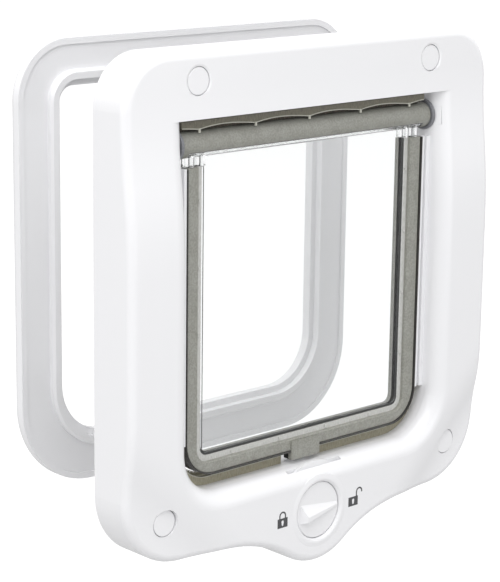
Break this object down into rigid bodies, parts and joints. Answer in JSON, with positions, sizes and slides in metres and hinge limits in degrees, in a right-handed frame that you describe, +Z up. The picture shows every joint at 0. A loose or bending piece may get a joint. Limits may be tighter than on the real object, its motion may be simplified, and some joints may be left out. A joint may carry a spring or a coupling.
{
  "type": "cat flap",
  "caption": "Two-way cat flap: thick white inner frame with a clear magnetic swing flap and rotary lock, and a thin outer frame for the door's far face.",
  "frame": {"origin": "centre of the door cut-out, on the door face that carries the inner frame", "axes": "+X to the right as seen from the room, +Y through the door to the outside, +Z up"},
  "size_m": [0.25, 0.1089, 0.2685],
  "materials": {
    "white_plastic": "satin",
    "grey_plastic": "matte",
    "clear_plastic": "clear and polished",
    "pile": "brushed pile",
    "magnet": "sintered",
    "steel": "bright zinc"
  },
  "bodies": {
    "frame": {"inner_frame": "white_plastic", "outer_frame": "white_plastic", "lock_cover": "white_plastic", "screw_cap_top_left": "white_plastic", "screw_cap_top_right": "white_plastic", "screw_cap_bottom_left": "white_plastic", "screw_cap_bottom_right": "white_plastic", "hinge_bush_left": "grey_plastic", "hinge_bush_right": "grey_plastic", "top_seal": "pile", "bottom_seal_left": "pile", "bottom_seal_right": "pile", "side_seal_left": "pile", "side_seal_right": "pile", "sill_magnet": "magnet", "cover_screw_left": "steel", "cover_screw_right": "steel", "fixing_screw_top_left": "steel", "fixing_screw_top_right": "steel", "fixing_screw_bottom_left": "steel", "fixing_screw_bottom_right": "steel"},
    "flap": {"front_flap_frame": "grey_plastic", "rear_flap_frame": "grey_plastic", "clear_panel": "clear_plastic", "panel_gasket": "pile", "hinge_bar": "grey_plastic", "hinge_pin_left": "steel", "hinge_pin_right": "steel", "flap_magnet": "magnet"},
    "knob": {"lock_knob": "white_plastic", "lock_cam": "white_plastic", "knob_screw": "steel"},
    "slide": {"lock_slide": "white_plastic"}
  },
  "joints": [
    {"name": "flap_swing", "type": "hinge", "parent": "frame", "child": "flap", "pos_m": [0, -0.0123, 0.072], "axis": [1, 0, 0], "range_deg": [-85, 85]},
    {"name": "lock_turn", "type": "hinge", "parent": "frame", "child": "knob", "pos_m": [0, -0.0246, -0.124], "axis": [0, -1, 0], "range_deg": [0, 180]},
    {"name": "slide_lift", "type": "slide", "parent": "frame", "child": "slide", "axis": [0, 0, 1], "range_m": [0, 0.0045]}
  ],
  "couplings": [
    {"joint": "lock_turn", "follows": "slide_lift", "rad_per_m": 698.13}
  ]
}
